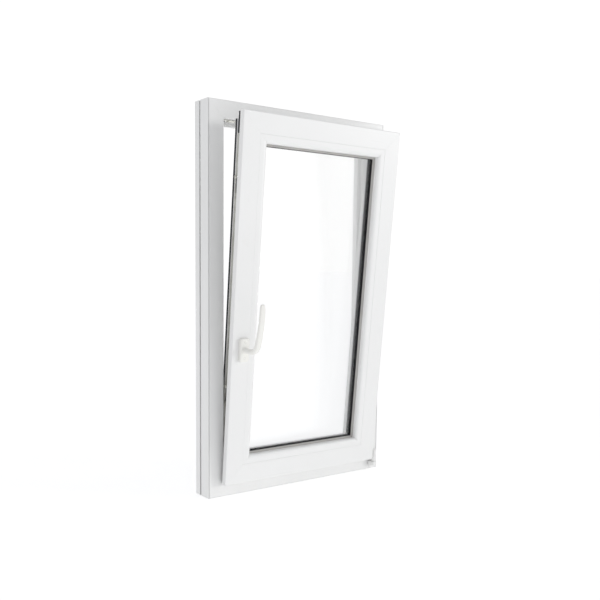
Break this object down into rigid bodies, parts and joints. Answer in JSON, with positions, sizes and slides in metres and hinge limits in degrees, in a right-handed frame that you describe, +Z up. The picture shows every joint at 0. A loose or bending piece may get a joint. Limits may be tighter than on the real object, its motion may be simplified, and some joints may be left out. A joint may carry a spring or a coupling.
{
  "type": "tilt-and-turn casement window",
  "caption": "White plastic casement window, glazed sash in a fixed frame, tilted in at the top on a stay, with a lever handle and side hinges for turning.",
  "frame": {"origin": "middle of the sill's flat underside, half way through the frame's depth", "axes": "+Z up, +X to the right as seen from the room, -Y into the room, +Y outdoors"},
  "size_m": [0.6, 0.2287, 1.05],
  "materials": {
    "white_upvc": "satin extruded uPVC",
    "galvanised_steel": "zinc-coated pressed steel",
    "plated_hardware": "satin plated steel",
    "hinge_white": "white powder-coated steel",
    "dark_steel": "dark plated steel",
    "black_rubber": "matte EPDM",
    "grey_gasket": "matte grey glazing gasket",
    "clear_glass": "clear float glass",
    "spacer_black": "matte black warm-edge spacer",
    "grey_plastic": "matte grey plastic",
    "handle_ivory": "satin off-white lacquer"
  },
  "bodies": {
    "frame": {"frame_sill": "white_upvc", "frame_head": "white_upvc", "frame_jamb_left": "white_upvc", "frame_jamb_right": "white_upvc", "frame_steel_sill": "galvanised_steel", "frame_steel_head": "galvanised_steel", "frame_steel_left": "galvanised_steel", "frame_steel_right": "galvanised_steel", "drain_cap_left": "white_upvc", "drain_cap_right": "white_upvc", "keep_left_upper": "plated_hardware", "keep_left_lower": "plated_hardware", "keep_head": "plated_hardware", "run_up_block": "grey_plastic", "lower_hinge_bracket": "hinge_white", "upper_hinge_bracket": "hinge_white", "upper_hinge_pin": "dark_steel"},
    "turn_carrier": {"lower_hinge_knuckle": "hinge_white"},
    "sash": {"sash_bottom_rail": "white_upvc", "sash_top_rail": "white_upvc", "sash_stile_left": "white_upvc", "sash_stile_right": "white_upvc", "sash_steel_sill": "galvanised_steel", "sash_steel_head": "galvanised_steel", "sash_steel_left": "galvanised_steel", "sash_steel_right": "galvanised_steel", "tilt_bearing_bush": "plated_hardware", "bead_bottom": "white_upvc", "bead_top": "white_upvc", "bead_left": "white_upvc", "bead_right": "white_upvc", "glass_inner": "clear_glass", "glass_outer": "clear_glass", "glass_spacer": "spacer_black", "gasket_bead": "grey_gasket", "gasket_glass_outer": "black_rubber", "setting_block_left": "grey_plastic", "setting_block_right": "grey_plastic", "sash_seal_inner": "black_rubber", "sash_seal_outer": "black_rubber", "cover_strip_left": "plated_hardware", "cover_strip_top": "plated_hardware", "corner_drive": "dark_steel", "gearbox": "galvanised_steel", "handle_rose": "handle_ivory", "rose_screw_upper": "plated_hardware", "rose_screw_lower": "plated_hardware"},
    "stay": {"stay_arm": "plated_hardware", "stay_slider": "dark_steel"},
    "handle": {"handle_lever": "handle_ivory", "handle_spindle": "galvanised_steel"},
    "rod_left": {"drive_rod_left": "galvanised_steel", "cam_left_upper": "dark_steel", "cam_left_lower": "dark_steel"},
    "rod_top": {"drive_rod_top": "galvanised_steel", "cam_top": "dark_steel"}
  },
  "joints": [
    {"name": "turn", "type": "hinge", "parent": "frame", "child": "turn_carrier", "pos_m": [0.276, -0.05, 0.043], "axis": [0, 0, 1], "range_deg": [0, 90]},
    {"name": "tilt", "type": "hinge", "parent": "turn_carrier", "child": "sash", "pos_m": [0.276, -0.05, 0.043], "axis": [1, 0, 0], "range_deg": [-5.3, 0]},
    {"name": "stay_swing", "type": "hinge", "parent": "turn_carrier", "child": "stay", "pos_m": [0.276, -0.05, 1], "axis": [0, 0, 1], "range_deg": [-19.45, 0]},
    {"name": "handle_turn", "type": "hinge", "parent": "sash", "child": "handle", "pos_m": [-0.229, -0.11365, 0.40436], "axis": [0, 0.9957, 0.0924], "range_deg": [0, 180]},
    {"name": "rod_left_slide", "type": "slide", "parent": "sash", "child": "rod_left", "axis": [0, 0.0924, -0.9957], "range_m": [0, 0.036]},
    {"name": "rod_top_slide", "type": "slide", "parent": "sash", "child": "rod_top", "axis": [-1, 0, 0], "range_m": [0, 0.036]}
  ],
  "couplings": [
    {"joint": "stay_swing", "follows": "tilt", "ratio": 3.6698},
    {"joint": "rod_left_slide", "follows": "handle_turn", "m_per_rad": 0.01145},
    {"joint": "rod_top_slide", "follows": "handle_turn", "m_per_rad": 0.01145}
  ]
}
